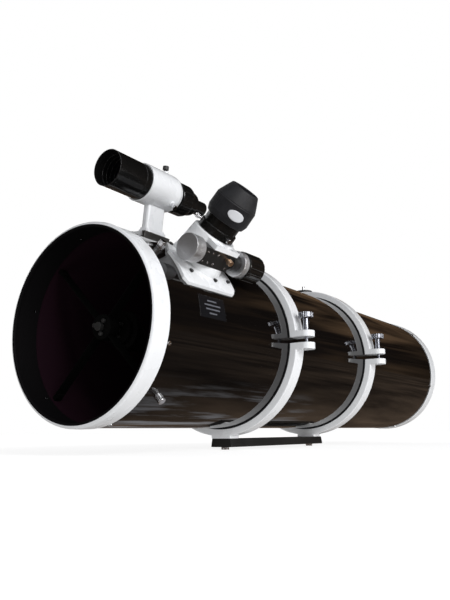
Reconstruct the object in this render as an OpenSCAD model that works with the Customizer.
// Newtonian reflector telescope tube: steel tube, cast end rings, mirror cell, spider,
// dual-speed focuser with eyepiece, finder, and two hinged rings on a dovetail bar.
// X runs along the tube with the open front end at -X, Z is up, and the origin is the
// middle of the bar's underside. Dimensions are in millimetres.

/* [Main tube] */
// Outside diameter of the steel tube
tube_od = 290; // [286:1:292]
// Wall thickness of the steel tube
tube_wall = 1.2; // [1:0.1:1.5]
// Length over both end rings
overall_len = 1135; // [1120:5:1160]
// Width of the front end ring
front_ring_w = 31; // [28:1:34]
// Width of the rear end ring
rear_ring_w = 34; // [30:1:36]

/* [Tube rings and bar] */
// Width of each tube ring along the tube
ring_w = 28; // [26:1:30]
// Outside radius of the tube rings
ring_r = 159.2; // [158.5:0.1:160]
// Thickness of the felt between a ring and the tube
felt_t = 2.1; // [1.5:0.1:2.5]
// Distance between the centres of the two tube rings
ring_spacing = 317.2; // [300:0.2:320]
// Distance from the front rim to the point midway between the tube rings
ring_mid = 516; // [510:1:520]
// Length of the dovetail bar
bar_len = 350; // [340:5:380]
// Width of the dovetail bar across its underside
bar_w = 44; // [43:0.5:45]
// Height of the dovetail bar
bar_h = 15; // [14:0.5:16]
// Height of the foot between a tube ring and the bar
foot_h = 4; // [3:0.5:5]

/* [Focuser] */
// Distance of the focuser axis from the front rim
focus_x = 140; // [135:1:145]
// Angle of the focuser from straight up, towards the near side
focus_angle = 45; // [40:1:50]
// Outside radius of the drawtube
drawtube_r = 28.6; // [28.6:0.1:28.6]
// Distance from the optical axis to the top of the focuser housing
housing_top = 196.4; // [194:0.2:197]
// Radius of the focus axle
axle_r = 4; // [4:0.1:4]

/* [Finder] */
// Angle of the finder from straight up, towards the near side
finder_angle = 7.2; // [6:0.1:8]
// Distance from the optical axis to the finder's axis
finder_h = 234; // [232:1:236]
// Distance from the front rim to the finder's front edge
finder_front = 22; // [18:1:28]
// Outside radius of the finder bracket's barrel
finder_barrel_r = 31; // [30.5:0.1:31.5]

/* [Mirrors] */
// Diameter of the primary mirror
primary_d = 254; // [250:1:254]
// Thickness of the primary mirror
primary_t = 36; // [32:1:36]
// Radius of curvature of the primary mirror
primary_curve = 2300; // [2200:10:2400]
// Minor axis of the secondary mirror
secondary_d = 63; // [58:1:64]

/* [Hidden] */
$fn = 96;
gap = 0.05;                                  // running clearance between moving pieces
seat = 0.02;                                 // clearance between pieces that stay together
tube_r = tube_od / 2;
tube_bore_r = tube_r - tube_wall;
axis_h = bar_h + foot_h + ring_r;            // height of the optical axis above the bar's foot
ring_shift = -4;                             // tube rings' midpoint, ahead of the bar's middle
front_x = ring_shift - ring_mid;             // front rim
ring_bore_r = tube_r + felt_t + 0.1;
rings_x = [ring_mid - ring_spacing / 2, ring_mid + ring_spacing / 2];
half = 90;                                   // a cut that is larger than any half ring needs

// tube ring details, heights counted from the optical axis
lug_top = 15.5;                              // top of the upper lug
lug_split = 5;                               // half of the gap between the lugs
lug_reach = 185.5;                           // how far the lugs stand out
lug_bolt_y = 171.5;                          // distance of the clamp bolt from the axis
hinge_y = 168;                               // distance of the hinge pin from the axis
hinge_r = 7;
pin_r = 3;
bolt_r = 3;
bar_bolt_r = 4;
stud_core_r = 2.9;                           // piggyback stud inside its thread

// end rings, spider and cell, counted from the front rim
end_screw_front_x = 34.5;
end_screw_rear_x = overall_len - rear_ring_w - 3.2;
spider_x = 56;
spider_angles = [45, 135, 225, 315];
hub_r = 19;
cell_x = overall_len - 23;                   // front face of the mirror cell's plate
cell_plate_t = 6;
base_x = overall_len - 9;                    // front face of the rear ring's base plate
base_t = 6;
cell_bolt_pcr = 105;                         // radius of the ring of collimation bolts
cell_angles = [0, 120, 240];
mirror_x = cell_x - primary_t - 1;           // front rim of the primary mirror

// focuser, in its own frame: Z outward along the drawtube, -Y towards the near side
axle_h = 174;
axle_t = 32;                                 // axle's distance from the drawtube's axis
focus_bore_r = drawtube_r + 0.8;
flat_t = axle_t - axle_r - gap;              // flat that the axle drives
saddle_r = tube_r + 4.5;
block_x0 = -45;
block_x1 = 24;
block_t0 = 20;
block_t1 = 40;
block_h0 = 158;
block_h1 = 186;
collar_h0 = 196.5;
collar_h1 = 209;
collar_r = 29.8;
adapter_top = 222;
adapter_r = 27.4;
adapter_bore_r = 25.43;
adapter_screw_h = 204;
near_screw_a = 104;                          // directions round the drawtube's axis
front_screw_a = 232;
saddle_holes = [[-47, 41], [7, 46], [43, 41], [-37, -28], [37, -28]];
tension_x = 8;
tension_h = 178;

// finder, distances along the tube from the front rim
dew_x0 = 28;
dew_x1 = 96;
barrel_x0 = 97;
barrel_x1 = 162;
dome_x1 = 173;
o_ring_x = 101;
finder_screw_x = 153.5;
finder_tube_r = 25.2;
finder_neck_r = 20;
shoe_x0 = 98;
shoe_x1 = 156;
shoe_screw_x = 118;
foot_x0 = 100;
foot_x1 = 154;

// ---------- helpers ----------

function arc(cx, cy, r, a0, a1, n) =
    [for (i = [0:n]) [cx + r * cos(a0 + (a1 - a0) * i / n), cy + r * sin(a0 + (a1 - a0) * i / n)]];

// X along the tube from the front rim, Z outward at the given angle from straight up
module on_tube(x, angle = 0) {
    translate([front_x + x, 0, axis_h]) rotate([angle, 0, 0]) children();
}

module rod_x(x0, x1, r) {
    translate([x0, 0, 0]) rotate([0, 90, 0]) cylinder(h = x1 - x0, r = r);
}

module pipe_x(x0, x1, r_out, r_in) {
    difference() {
        rod_x(x0, x1, r_out);
        rod_x(x0 - 1, x1 + 1, r_in);
    }
}

// points are [radius, distance along X]
module lathe_x(points) {
    rotate([0, 90, 0]) rotate_extrude() polygon(points);
}

module pipe_z(z0, z1, r_out, r_in) {
    translate([0, 0, z0]) difference() {
        cylinder(h = z1 - z0, r = r_out);
        translate([0, 0, -1]) cylinder(h = z1 - z0 + 2, r = r_in);
    }
}

module rod_z(z0, z1, r) {
    translate([0, 0, z0]) cylinder(h = z1 - z0, r = r);
}

// knob with rounded rims and grooves along its rim, standing on z0
module fluted_knob(z0, z1, r, flutes, flute_r, edge = 1) {
    difference() {
        translate([0, 0, z0]) rotate_extrude() polygon([
            [0, 0], [r - edge, 0], [r - 0.3 * edge, 0.3 * edge], [r, edge],
            [r, z1 - z0 - edge], [r - 0.3 * edge, z1 - z0 - 0.3 * edge],
            [r - edge, z1 - z0], [0, z1 - z0]]);
        for (i = [0:flutes - 1])
            rotate([0, 0, i * 360 / flutes]) translate([r + 0.5 * flute_r, 0, z0 - 1])
                cylinder(h = z1 - z0 + 2, r = flute_r, $fn = 24);
    }
}

// thumbscrew along Z: shank from tip to the head's underside
module thumbscrew(tip, shoulder, head0, head1, shank_r, stem_r, head_r) {
    rod_z(tip, shoulder, shank_r);
    rod_z(shoulder, head0 + 0.01, stem_r);
    fluted_knob(head0, head1, head_r, 14, head_r * 0.14, head_r * 0.12);
}

// outline of a slab with rounded corners, centred
module rounded_slab(l, w, h, r) {
    linear_extrude(height = h) union() {
        square([l - 2 * r, w], center = true);
        square([l, w - 2 * r], center = true);
        for (sx = [-1, 1], sy = [-1, 1])
            translate([sx * (l / 2 - r), sy * (w / 2 - r)]) circle(r = r);
    }
}

// ---------- bar and tube rings ----------

module dovetail_bar() {
    color([0.06, 0.06, 0.065]) difference() {
        rotate([90, 0, 90]) translate([0, 0, -bar_len / 2]) linear_extrude(height = bar_len)
            polygon([
                [-bar_w / 2 + 1, 0], [bar_w / 2 - 1, 0], [bar_w / 2, 1],
                [bar_w / 2 - 2, bar_h - 0.8], [bar_w / 2 - 2.8, bar_h],
                [-bar_w / 2 + 2.8, bar_h], [-bar_w / 2 + 2, bar_h - 0.8], [-bar_w / 2, 1]]);
        for (x = rings_x)
            translate([front_x + x, 0, -1]) cylinder(h = bar_h + 2, r = bar_bolt_r + gap);
    }
}

module bar_screws() {
    color([0.62, 0.62, 0.64]) for (x = rings_x) translate([front_x + x, 0, 0]) {
        rod_z(0, bar_h + 12, bar_bolt_r);
        difference() {
            fluted_knob(-4.5, 0, 7, 18, 0.8, 0.6);
            rod_z(-5, -1.5, 3, $fn = 6);
        }
    }
}

module ring_section(x) {
    translate([x - ring_w / 2, 0, 0]) lathe_x([
        [ring_bore_r, 0], [ring_r - 1.5, 0], [ring_r - 0.45, 0.45], [ring_r, 1.5],
        [ring_r, ring_w - 1.5], [ring_r - 0.45, ring_w - 0.45], [ring_r - 1.5, ring_w],
        [ring_bore_r, ring_w]]);
}

module felt_section(x) {
    pipe_x(x - ring_w / 2, x + ring_w / 2, ring_bore_r - seat, tube_r + gap);
}

// everything of a half that must be cut away: side is 1 for the upper half, -1 for the lower
module half_cut(x, side) {
    big = 2 * ring_r + half;
    for (near = [true, false])
        translate([x - ring_w, near ? -big : 0, side > 0 ? -big : -(near ? lug_split : 0.3)])
            translate([0, 0, side > 0 ? (near ? lug_split : 0.3) : 0])
                cube([2 * ring_w, big, big]);
}

module lug(x, z0, z1) {
    difference() {
        union() {
            translate([x, -lug_bolt_y, z0]) cylinder(h = z1 - z0, r = ring_w / 2);
            translate([x - ring_w / 2, -lug_bolt_y, z0]) cube([ring_w, lug_bolt_y - 151, z1 - z0]);
        }
        translate([x, -lug_bolt_y, z0 - 1])
            cylinder(h = z1 - z0 + 2, r = z0 > 0 ? bolt_r + gap : bolt_r + 1.2);
    }
}

// one or two hinge knuckles with the web that joins them to the ring
module knuckles(x, spans, side) {
    for (s = spans) difference() {
        union() {
            translate([0, hinge_y, 0]) rod_x(x + s[0], x + s[1], hinge_r);
            translate([x + s[0], 154, side > 0 ? 0.3 : -hinge_r])
                cube([s[1] - s[0], hinge_y - 154, hinge_r - 0.3]);
        }
        translate([0, hinge_y, 0]) rod_x(x + s[0] - 1, x + s[1] + 1, pin_r + gap);
    }
}

module ring_lower(x) {
    bolt_z = -axis_h;
    on_tube(0) difference() {
        union() {
            difference() {
                union() {
                    ring_section(x);
                    translate([x - ring_w / 2, -20, -ring_r - foot_h])
                        cube([ring_w, 40, foot_h + 5]);
                }
                rod_x(x - ring_w, x + ring_w, ring_bore_r);
                half_cut(x, -1);
            }
            lug(x, -lug_top - 0.5, -lug_split);
            knuckles(x, [[-5, 5]], -1);
        }
        translate([x, 0, bolt_z]) cylinder(h = bar_h + 12.2, r = bar_bolt_r + seat);
    }
}

module ring_upper(x, stud = false) {
    on_tube(0) difference() {
        union() {
            difference() {
                union() {
                    ring_section(x);
                    if (stud) translate([x, 0, ring_r - 4]) cylinder(h = 5.4, r = 12);
                }
                rod_x(x - ring_w, x + ring_w, ring_bore_r);
                half_cut(x, 1);
            }
            lug(x, lug_split, lug_top);
            knuckles(x, [[-14, -5.1], [5.1, 14]], 1);
        }
        if (stud) translate([x, 0, ring_r - 9.2]) cylinder(h = 20, r = stud_core_r + seat);
    }
}

module front_ring_lower() { color([0.93, 0.93, 0.92]) ring_lower(rings_x[0]); }

module rear_ring_lower() { color([0.93, 0.93, 0.92]) ring_lower(rings_x[1]); }

module front_ring_upper() { color([0.93, 0.93, 0.92]) ring_upper(rings_x[0]); }

module rear_ring_upper() { color([0.93, 0.93, 0.92]) ring_upper(rings_x[1], stud = true); }

module felt_half(x, side) {
    on_tube(0) difference() {
        felt_section(x);
        half_cut(x, side);
    }
}

module ring_felts_lower() { color([0.05, 0.05, 0.05]) for (x = rings_x) felt_half(x, -1); }

module front_felt_upper() { color([0.05, 0.05, 0.05]) felt_half(rings_x[0], 1); }

module rear_felt_upper() { color([0.05, 0.05, 0.05]) felt_half(rings_x[1], 1); }

module ring_hinge_pins() {
    color([0.7, 0.7, 0.72]) for (x = rings_x) on_tube(0) translate([0, hinge_y, 0])
        rod_x(x - ring_w / 2 + 0.5, x + ring_w / 2 - 0.5, pin_r);
}

module clamp_screw(x) {
    color([0.72, 0.72, 0.74]) on_tube(0) translate([x, -lug_bolt_y, 0]) {
        rod_z(-14, lug_top + 0.1, bolt_r);
        rod_z(lug_top + gap, 37.7, 5.2);
        fluted_knob(37.6, 47.4, 12.7, 24, 0.9, 1);
    }
}

module front_clamp_screw() { clamp_screw(rings_x[0]); }

module rear_clamp_screw() { clamp_screw(rings_x[1]); }

module piggyback_stud() {
    color([0.75, 0.75, 0.77]) on_tube(rings_x[1]) {
        rod_z(ring_r - 9, 163.31, stud_core_r);
        rod_z(163.3, 174, 3.175);
    }
}

module piggyback_disc() {
    color([0.07, 0.07, 0.075]) on_tube(rings_x[1]) difference() {
        fluted_knob(ring_r + 1.45, ring_r + 3.85, 19.4, 36, 0.7, 0.5);
        rod_z(ring_r, ring_r + 6, stud_core_r + gap);
    }
}

// ---------- tube, end rings, spider ----------

module main_tube() {
    color([0.05, 0.04, 0.04]) on_tube(0) difference() {
        pipe_x(3.1, overall_len - 3.1, tube_r, tube_bore_r);
        rotate([focus_angle, 0, 0]) translate([focus_x, 0, 0]) {
            rod_z(100, 200, 36);
            for (p = saddle_holes) translate([p[0], -p[1], 0]) rod_z(100, 200, 2.1);
        }
        for (x = [end_screw_front_x, end_screw_rear_x], a = [45:60:345])
            rotate([a, 0, 0]) translate([x, 0, 0]) rod_z(100, 200, 1.8);
        for (a = spider_angles)
            rotate([a, 0, 0]) translate([spider_x, 0, 0]) rod_z(100, 200, 2.2);
    }
}

module front_end_ring() {
    color([0.95, 0.95, 0.94]) on_tube(0) difference() {
        lathe_x(concat(
            [[138, 4], [138, 1.2], [138.5, 0.3], [139.2, 0]],
            [[141.6, 0]], arc(141.4, 5, 5, -80, -10, 5),
            [[146.6, 12], [146.3, front_ring_w - 0.8], [145.8, front_ring_w],
             [tube_r + gap, front_ring_w], [tube_r + gap, 3], [tube_bore_r - gap, 3],
             [tube_bore_r - gap, 44], [141.8, 44], [141.8, 7]]));
        for (a = [45:60:345])
            rotate([a, 0, 0]) translate([end_screw_front_x, 0, 0]) rod_z(135, 150, 1.7 + seat);
    }
}

module rear_end_ring() {
    e = overall_len;
    w = e - rear_ring_w;
    color([0.93, 0.93, 0.92]) on_tube(0) difference() {
        union() {
            lathe_x([
                [138.5, e - 3], [139, e - 0.5], [140, e], [144.4, e], [146, e - 0.8],
                [146.8, e - 3], [146.8, w + 1], [146.2, w], [tube_r + gap, w],
                [tube_r + gap, e - 3], [tube_bore_r - gap, e - 3],
                [tube_bore_r - gap, w - 12], [141.8, w - 12], [141.8, e - 4]]);
            difference() {
                rod_x(base_x, base_x + base_t, 142.5);
                rod_x(base_x - 1, e, 52);
                for (a = [30:60:330])
                    rotate([a, 0, 0]) translate([0, 0, 78]) rod_x(base_x - 1, e, 15);
            }
        }
        for (a = [45:60:345])
            rotate([a, 0, 0]) translate([end_screw_rear_x, 0, 0]) rod_z(135, 150, 1.7 + seat);
        for (a = cell_angles) {
            rotate([a, 0, 0]) translate([0, 0, cell_bolt_pcr]) rod_x(base_x - 1, e, 3.1);
            rotate([a + 18, 0, 0]) translate([0, 0, cell_bolt_pcr]) rod_x(base_x - 1, e, 2.6);
        }
    }
}

module end_ring_screws() {
    color([0.75, 0.75, 0.77]) for (x = [end_screw_front_x, end_screw_rear_x], a = [45:60:345])
        on_tube(x, a) {
            rod_z(142, tube_r + seat, 1.7);
            difference() {
                rod_z(tube_r + 0.01, tube_r + 1.9, 3.2);
                for (t = [0, 90])
                    rotate([0, 0, t]) translate([-1.7, -0.35, tube_r + 1.1]) cube([3.4, 0.7, 2]);
            }
        }
}

module label_plate() {
    angle = 80.75;
    color([0.08, 0.08, 0.085]) on_tube(0, angle) intersection() {
        pipe_x(97, 158, tube_r + 0.45, tube_r + seat);
        translate([97, -16.5, 100]) cube([61, 33, 60]);
    }
}

module spider_hub() {
    color([0.06, 0.06, 0.06]) on_tube(0) difference() {
        lathe_x([[0, 46], [hub_r - 2, 46], [hub_r, 48], [hub_r, 66], [0, 66]]);
        rod_x(40, 70, 3.1);
        for (a = [0, 120, 240])
            rotate([a + 45, 0, 0]) translate([0, 0, 11]) rod_x(40, 70, 2.1);
    }
}

module spider_vanes() {
    color([0.06, 0.06, 0.06]) for (a = spider_angles) on_tube(0, a) {
        translate([47, -0.4, hub_r + seat]) cube([18, 0.8, 113]);
        difference() {
            translate([spider_x - 6, -3.5, 131]) cube([12, 7, 11]);
            translate([spider_x, 0, 0]) rod_z(134, 150, 2 + seat);
        }
    }
}

module spider_knobs() {
    color([0.7, 0.7, 0.72]) for (a = spider_angles) on_tube(spider_x, a) {
        rod_z(134.5, tube_r + 0.8, 2);
        fluted_knob(tube_r + 0.1, 158, 5.6, 16, 0.6, 0.8);
    }
}

module secondary_screws() {
    color([0.6, 0.6, 0.62]) on_tube(0) {
        rod_x(44, 83.9, 3);
        rod_x(40, 46, 6.5);
        for (a = [0, 120, 240]) rotate([a + 45, 0, 0]) translate([0, 0, 11]) {
            rod_x(43, 83.85, 2);
            rod_x(42.5, 45.9, 3);
        }
    }
}

// holder and mirror are cut by planes at 45 degrees to the optical axis
module secondary_holder() {
    color([0.08, 0.08, 0.08]) on_tube(focus_x, focus_angle) intersection() {
        union() {
            rod_x(84 - focus_x, -20, 22);
            rod_x(-48, 60, secondary_d / 2 - 1.5);
        }
        rotate([0, 45, 0]) translate([-100, -100, -200]) cube([200, 200, 200 - 9.1]);
    }
}

module secondary_mirror() {
    color([0.75, 0.8, 0.85]) on_tube(focus_x, focus_angle) intersection() {
        rod_x(-80, 80, secondary_d / 2);
        rotate([0, 45, 0]) translate([-100, -100, -9]) cube([200, 200, 9]);
    }
}

// ---------- focuser ----------

module saddle_outline() {
    polygon([
        [-70, -4], [-70, -54], [-62, -61], [47, -61], [54, -53], [54, -4],
        [47, 24], [42, 33], [24, 33], [16, 22], [-16, 22], [-24, 33], [-42, 33], [-48, 24]]);
}

module focuser_housing() {
    color([0.95, 0.95, 0.94]) on_tube(focus_x, focus_angle) difference() {
        union() {
            intersection() {
                rod_x(-80, 80, saddle_r);
                translate([0, 0, 110]) linear_extrude(height = 50) saddle_outline();
            }
            rotate_extrude() polygon([
                [0, 138], [42.5, 138], [42, 150], [40.4, 160], [35.6, 190], [34.9, 195.4],
                [34.2, housing_top], [0, housing_top]]);
            translate([-30, -block_t1 - 1, block_h1 + 0.2]) cube([56, 24, 7.5]);
        }
        rod_x(-90, 90, tube_r + gap);
        rod_z(100, 220, focus_bore_r);
        for (a = [-32, 32])
            rotate([0, 0, a]) translate([-4.05, 20, 153.95]) cube([8.1, 11.5, 36.1]);
        translate([block_x0 - gap, -70, block_h0 - gap])
            cube([block_x1 - block_x0 + 2 * gap, 70 - block_t0 + gap, block_h1 - block_h0 + 2 * gap]);
        translate([0, -axle_t, axle_h]) rod_x(block_x1 - 1, 60, 13 + gap);
        for (p = saddle_holes) translate([p[0], -p[1], 0]) rod_z(100, 170, 2.1);
    }
}

module focuser_screws() {
    color([0.12, 0.12, 0.13]) for (p = saddle_holes)
        on_tube(focus_x, focus_angle) translate([p[0], -p[1], 0]) {
            h = sqrt(pow(saddle_r, 2) - pow(abs(p[1]) - 3.4, 2));
            rod_z(h - 14, h + 0.1, 2);
            difference() {
                rod_z(h + 0.05, h + 2.2, 3.4);
                rod_z(h + 1, h + 3, 1.5, $fn = 6);
            }
        }
}

module guide_pads() {
    color([0.9, 0.9, 0.86]) on_tube(focus_x, focus_angle) for (a = [-32, 32])
        rotate([0, 0, a]) intersection() {
            pipe_z(154, 190, 40, drawtube_r + gap);
            translate([-4, 20, 154]) cube([8, 11.4, 36]);
        }
}

module axle_bracket() {
    color([0.06, 0.06, 0.065]) on_tube(focus_x, focus_angle) difference() {
        union() {
            translate([block_x0, -block_t1, block_h0])
                cube([block_x1 - block_x0, block_t1 - block_t0, block_h1 - block_h0]);
            translate([0, -axle_t, axle_h]) {
                rod_x(block_x1 - 0.01, 41.5, 13);
                rod_x(-54.5, block_x0 + 1, 8);
            }
        }
        rod_z(100, 220, focus_bore_r);
        translate([0, -axle_t, axle_h]) rod_x(-80, 80, axle_r + gap);
        for (x = [-38, -26, -14, 16], z = [block_h0 + 6, block_h1 - 6])
            translate([x, -block_t1, z]) rotate([90, 0, 0]) rod_z(-3, 1, 1.7);
        translate([tension_x, -block_t1, tension_h]) rotate([90, 0, 0]) rod_z(-3.8, 1, 2.1);
    }
}

module bracket_screws() {
    color([0.7, 0.7, 0.72]) on_tube(focus_x, focus_angle)
        for (x = [-38, -26, -14, 16], z = [block_h0 + 6, block_h1 - 6])
            translate([x, -block_t1, z]) rotate([90, 0, 0]) difference() {
                rod_z(-2.9, 0.4, 1.65);
                rod_z(-0.8, 1, 0.8, $fn = 6);
            }
}

module tension_screw() {
    color([0.75, 0.72, 0.65]) on_tube(focus_x, focus_angle)
        translate([tension_x, -block_t1, tension_h]) rotate([90, 0, 0])
            thumbscrew(-3.6, 0.2, 5, 12, 2, 3, 4.6);
}

module drawtube() {
    color([0.07, 0.07, 0.075]) on_tube(focus_x, focus_angle) difference() {
        pipe_z(130, collar_h0, drawtube_r, 25.6);
        translate([-20, -drawtube_r - 10, 120]) cube([40, drawtube_r + 10 - flat_t, 60 + 30 - 12]);
    }
}

module eyepiece_adapter() {
    color([0.06, 0.06, 0.065]) on_tube(focus_x, focus_angle) difference() {
        rotate_extrude() polygon([
            [adapter_bore_r, collar_h0], [collar_r, collar_h0], [collar_r, collar_h1 - 0.6],
            [collar_r - 0.6, collar_h1], [adapter_r, collar_h1], [adapter_r, adapter_top - 0.5],
            [adapter_r - 0.5, adapter_top], [adapter_bore_r, adapter_top],
            [adapter_bore_r, adapter_screw_h + 2.6], [26.6, adapter_screw_h + 2.6],
            [26.6, adapter_screw_h - 2.6], [adapter_bore_r, adapter_screw_h - 2.6]]);
        for (a = [near_screw_a, front_screw_a])
            translate([0, 0, adapter_screw_h]) rotate([0, 90, -a]) rod_z(20, 40, 1.5 + gap);
    }
}

module compression_ring() {
    color([0.75, 0.6, 0.3]) on_tube(focus_x, focus_angle) difference() {
        pipe_z(adapter_screw_h - 2.5, adapter_screw_h + 2.5, 26.5, adapter_bore_r + 0.03);
        translate([0, -2, 195]) cube([40, 4, 20]);
    }
}

module adapter_screw(a) {
    color([0.75, 0.75, 0.77]) on_tube(focus_x, focus_angle) translate([0, 0, adapter_screw_h])
        rotate([0, 90, -a]) thumbscrew(26.6, collar_r + 0.3, 33.5, 40, 1.5, 2.2, 3.6);
}

module adapter_screw_near() { adapter_screw(near_screw_a); }

module adapter_screw_front() { adapter_screw(front_screw_a); }

module on_axle() {
    on_tube(focus_x, focus_angle) translate([0, -axle_t, axle_h]) children();
}

module focus_axle() {
    color([0.75, 0.75, 0.77]) on_axle() {
        rod_x(-73, 53.9, axle_r);
        rod_x(53.8, 70, 3);
    }
}

module left_focus_knob() {
    color([0.66, 0.66, 0.67]) on_axle() difference() {
        rotate([0, 90, 0]) fluted_knob(-75, -55, 19.5, 48, 0.45, 0.8);
        rod_x(-73.05, -50, axle_r + seat);
    }
}

module right_focus_knob() {
    color([0.7, 0.7, 0.71]) on_axle() difference() {
        rotate([0, 90, 0]) fluted_knob(42, 53.8, 20.2, 48, 0.45, 0.8);
        rod_x(40, 60, axle_r + seat);
    }
}

module fine_focus_knob() {
    color([0.05, 0.045, 0.045]) on_axle() difference() {
        rotate([0, 90, 0]) fluted_knob(54.1, 95, 22.2, 16, 2.2, 2);
        rod_x(50, 70.2, 3 + gap);
        rod_x(93.5, 96, 14);
    }
}

module eyepiece_barrel() {
    color([0.75, 0.75, 0.77]) on_tube(focus_x, focus_angle) difference() {
        union() {
            rod_z(199, adapter_top + 1, adapter_bore_r - 0.08);
            rod_z(adapter_top + gap, 257, 27);
        }
        rod_z(198, 230, 23.4);
        rod_z(229, 258, 20);
    }
}

module eyepiece_lenses() {
    color([0.5, 0.6, 0.75]) on_tube(focus_x, focus_angle) {
        rod_z(208, 214, 23.35);
        difference() {
            rod_z(247, 256, 19.95);
            translate([0, 0, 256 + 58]) sphere(r = 60);
        }
    }
}

module eyecup() {
    color([0.04, 0.04, 0.045]) on_tube(focus_x, focus_angle) rotate_extrude() polygon([
        [27.05, adapter_top + 0.2], [30.6, adapter_top + 0.2], [33.8, 231], [33.2, 253.4],
        [32.4, 254], [32.4, 255], [22.8, 275.6], [21.6, 276.4], [20.2, 276.4], [19.6, 275.6],
        [19.6, 272], [24.4, 257.3], [27.05, 257.3]]);
}

// ---------- finder ----------

module on_finder(x = 0) {
    on_tube(finder_front - dew_x0 + x, finder_angle) translate([0, 0, finder_h]) children();
}

module finder_shoe() {
    color([0.06, 0.06, 0.065]) on_tube(0, finder_angle) difference() {
        translate([shoe_x0, -17, 138]) cube([shoe_x1 - shoe_x0, 34, 19]);
        rod_x(shoe_x0 - 5, shoe_x1 + 5, tube_r + seat);
        translate([shoe_x0 - 5, 0, 0]) rotate([90, 0, 90]) linear_extrude(height = 100)
            polygon([
                [-13 - gap, 149.9], [13 + gap, 149.9], [10 + gap, 157.5], [-10 - gap, 157.5]]);
        translate([shoe_screw_x, 10, 153]) rotate([-90, 0, 0]) rod_z(0, 20, 2.1);
    }
}

module shoe_screw() {
    color([0.75, 0.75, 0.77]) on_tube(shoe_screw_x, finder_angle)
        translate([0, 0, 153]) rotate([-90, 0, 0])
            thumbscrew(12.75, 19.2, 22, 30, 2, 3, 6);
}

module finder_bracket() {
    r = finder_barrel_r;
    color([0.95, 0.95, 0.94]) union() {
        on_finder() difference() {
            union() {
                lathe_x(concat(
                    [[28.7, barrel_x0], [r - 0.6, barrel_x0], [r, barrel_x0 + 0.8]],
                    arc(19, barrel_x1 - 1, r - 19, 0, 50, 6),
                    [[26.4, dome_x1 - 0.6], [25.4, dome_x1 - 1.6], [25.6, dome_x1 - 4]],
                    arc(19, barrel_x1 - 1, r - 21.2, 45, 0, 5)));
                translate([finder_screw_x, 0, 0]) {
                    rod_z(29, 34.9, 5);
                    rotate([-90, 0, 0]) rod_z(29, 34.9, 5);
                    rotate([135, 0, 0]) rod_z(29, 34, 5.5);
                }
            }
            translate([finder_screw_x, 0, 0]) {
                rod_z(20, 40, 2 + gap);
                rotate([-90, 0, 0]) rod_z(20, 40, 2 + gap);
                rotate([135, 0, 0]) rod_z(20, 40, 3 + gap);
            }
        }
        on_tube(0, finder_angle) {
            difference() {
                union() {
                    translate([131, 0, 155]) rounded_slab(39, 14, 54, 5);
                    translate([132, 0, 157.1]) rounded_slab(44, 24, 6, 6);
                    translate([131.5, 0, 163]) rounded_slab(41, 19, 3.5, 5);
                }
                translate([0, 0, finder_h]) rod_x(80, 200, 29.5);
            }
            translate([foot_x0, 0, 0]) rotate([90, 0, 90])
                linear_extrude(height = foot_x1 - foot_x0)
                    polygon([[-13, 150], [13, 150], [10.16, 157.2], [-10.16, 157.2]]);
        }
    }
}

module finder_o_ring() {
    color([0.04, 0.04, 0.04]) on_finder() translate([o_ring_x, 0, 0]) rotate([0, 90, 0])
        rotate_extrude() translate([(finder_tube_r + 28.7) / 2, 0]) circle(r = 1.7, $fn = 32);
}

module finder_tube() {
    color([0.05, 0.05, 0.05]) on_finder() difference() {
        lathe_x([
            [0, dew_x1 + 0.1], [25.9, dew_x1 + 0.1], [25.9, dew_x1 + 1.6],
            [finder_tube_r, dew_x1 + 2], [finder_tube_r, 158], [finder_neck_r, 165],
            [finder_neck_r, 175.5], [26, 176], [26.8, 177.2], [26.8, 202], [25.6, 205.5],
            [21.5, 207.5], [20.5, 209], [20.5, 220], [19.5, 223], [0, 223]]);
        rod_x(dew_x1 - 1, 156, 23.6);
        rod_x(150, 224, 16);
        for (i = [0:23])
            rotate([i * 15, 0, 0]) translate([0, 0, 27.2]) rod_x(180, 200, 0.9, $fn = 24);
    }
}

module finder_dew_shield() {
    color([0.04, 0.04, 0.045]) on_finder() lathe_x(concat(
        [[27.2, dew_x0], [28, dew_x0], [28.5, dew_x0 + 0.5], [28.5, 84],
         [28, 84.4], [28, 85.4], [28.5, 85.8], [28.5, dew_x1 - 0.4], [28.1, dew_x1],
         [25, dew_x1], [25, dew_x1 - 8]],
        [for (i = [0:5]) each [[26, dew_x1 - 12 - i * 8], [25.3, dew_x1 - 12 - i * 8],
            [25.3, dew_x1 - 13 - i * 8], [26, dew_x1 - 13 - i * 8]]]));
}

module finder_objective() {
    color([0.5, 0.65, 0.8]) on_finder() difference() {
        rod_x(dew_x1 + 1, dew_x1 + 8, 23.55);
        translate([dew_x1 + 1 - 117.5, 0, 0]) sphere(r = 118);
    }
}

module finder_eyepiece() {
    color([0.07, 0.07, 0.075]) on_finder() difference() {
        lathe_x([
            [0, 216], [15.9, 216], [15.9, 223.6], [14, 223.6], [14, 227.5], [12.6, 228.5],
            [12.6, 255], [11.6, 256], [0, 256]]);
        rod_x(210, 249, 8.5);
        rod_x(250, 257, 7);
        rod_x(209, 258, 5);
    }
}

// adjusting screw with a round nose that bears on the finder tube
module finder_adjuster() {
    nose = finder_tube_r + gap;
    translate([0, 0, nose + 2]) sphere(r = 2);
    rod_z(nose + 2, 38.1, 2);
    fluted_knob(38, 44.6, 5, 12, 0.6, 0.7);
}

module finder_screw_top() {
    color([0.05, 0.05, 0.05]) on_finder(finder_screw_x) finder_adjuster();
}

module finder_screw_side() {
    color([0.05, 0.05, 0.05]) on_finder(finder_screw_x) rotate([-90, 0, 0]) finder_adjuster();
}

module finder_plunger() {
    color([0.75, 0.75, 0.77]) on_finder(finder_screw_x) rotate([135, 0, 0]) {
        rod_z(finder_tube_r + 2.2, 35, 3);
        fluted_knob(34.1, 41, 4.2, 12, 0.5, 0.7);
    }
}

// ---------- primary mirror ----------

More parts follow.
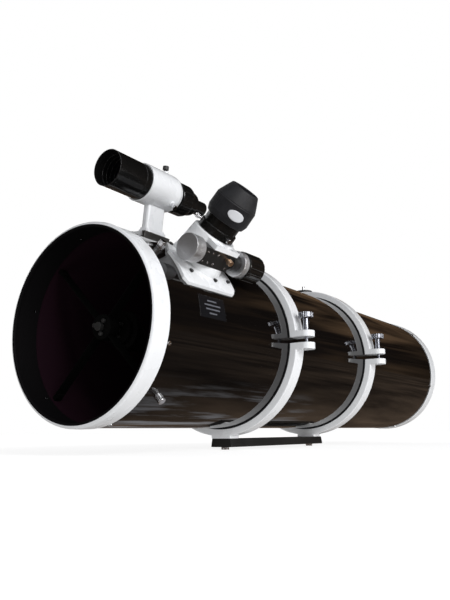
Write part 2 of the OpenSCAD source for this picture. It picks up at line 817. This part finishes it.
module mirror_cell() {
    color([0.12, 0.12, 0.12]) on_tube(0) difference() {
        rod_x(cell_x - 22, cell_x + cell_plate_t, 136);
        rod_x(cell_x - 23, cell_x, primary_d / 2 + 1.2);
        rod_x(cell_x - 1, cell_x + cell_plate_t + 1, 40);
        for (a = [60:60:360])
            rotate([a, 0, 0]) translate([0, 0, 76]) rod_x(cell_x - 1, cell_x + 7, 14);
        for (a = cell_angles)
            rotate([a, 0, 0]) translate([0, 0, cell_bolt_pcr]) rod_x(cell_x - 1, cell_x + 7, 3.6);
    }
}

module primary_mirror() {
    r = primary_d / 2;
    edge = asin((r - 1) / primary_curve);
    vertex = mirror_x + primary_curve * (1 - cos(edge));
    color([0.78, 0.82, 0.86]) on_tube(0) lathe_x(concat(
        [[0, cell_x - 0.5], [r - 1, cell_x - 0.5], [r, cell_x - 1.5], [r, mirror_x + 0.5]],
        [for (i = [0:12]) [primary_curve * sin(edge * (1 - i / 12)),
            vertex - primary_curve * (1 - cos(edge * (1 - i / 12)))]]));
}

module mirror_clips() {
    color([0.1, 0.1, 0.1]) for (a = cell_angles) on_tube(0, a + 60) {
        translate([mirror_x - 2.2, -8, 123]) cube([2, 16, 12.5]);
        difference() {
            translate([mirror_x - 0.3, -8, primary_d / 2 + 1.3])
                cube([cell_x - 22.1 - mirror_x + 0.3, 16, 7]);
            rod_x(0, overall_len, primary_d / 2 + 1.2);
        }
    }
}

// the wire's round section is drawn where a level plane cuts the coil
module cell_springs() {
    len = base_x - cell_x - cell_plate_t - 0.4;
    turns = 2.5;
    coil_r = 6.2;
    wire_r = 0.8;
    section = [for (i = [0:15]) let (
            r = coil_r + wire_r * cos(i * 22.5),
            a = 360 * turns * wire_r * sin(i * 22.5) / len)
        [r * cos(a), r * sin(a)]];
    color([0.6, 0.6, 0.62]) for (a = cell_angles) on_tube(cell_x + cell_plate_t + 0.2, a)
        translate([0, 0, cell_bolt_pcr]) rotate([0, 90, 0])
            linear_extrude(height = len, twist = 360 * turns, slices = 24, $fn = 12)
                polygon(section);
}

module collimation_knobs() {
    e = overall_len;
    color([0.1, 0.1, 0.1]) for (a = cell_angles) on_tube(0, a) translate([0, 0, cell_bolt_pcr]) {
        rod_x(cell_x + 1, e - 1.9, 3);
        rotate([0, 90, 0]) fluted_knob(e - 2, e + 12, 10, 10, 1.6, 1.5);
    }
}

module cell_lock_screws() {
    e = overall_len;
    color([0.65, 0.65, 0.67]) for (a = cell_angles) on_tube(0, a + 18)
        translate([0, 0, cell_bolt_pcr]) {
            rod_x(cell_x + cell_plate_t + 2, e + 3.1, 2.5);
            rotate([0, 90, 0]) fluted_knob(e + 3, e + 9, 5, 12, 0.6, 0.7);
        }
}

dovetail_bar();
bar_screws();
front_ring_lower();
rear_ring_lower();
ring_felts_lower();
ring_hinge_pins();
front_ring_upper();
front_felt_upper();
rear_ring_upper();
rear_felt_upper();
front_clamp_screw();
rear_clamp_screw();
piggyback_stud();
piggyback_disc();
main_tube();
front_end_ring();
rear_end_ring();
end_ring_screws();
label_plate();
spider_hub();
spider_vanes();
spider_knobs();
secondary_screws();
secondary_holder();
secondary_mirror();
focuser_housing();
focuser_screws();
guide_pads();
axle_bracket();
bracket_screws();
tension_screw();
drawtube();
eyepiece_adapter();
compression_ring();
adapter_screw_near();
adapter_screw_front();
focus_axle();
left_focus_knob();
right_focus_knob();
fine_focus_knob();
eyepiece_barrel();
eyepiece_lenses();
eyecup();
finder_shoe();
shoe_screw();
finder_bracket();
finder_o_ring();
finder_tube();
finder_dew_shield();
finder_objective();
finder_eyepiece();
finder_screw_top();
finder_screw_side();
finder_plunger();
mirror_cell();
primary_mirror();
mirror_clips();
cell_springs();
collimation_knobs();
cell_lock_screws();
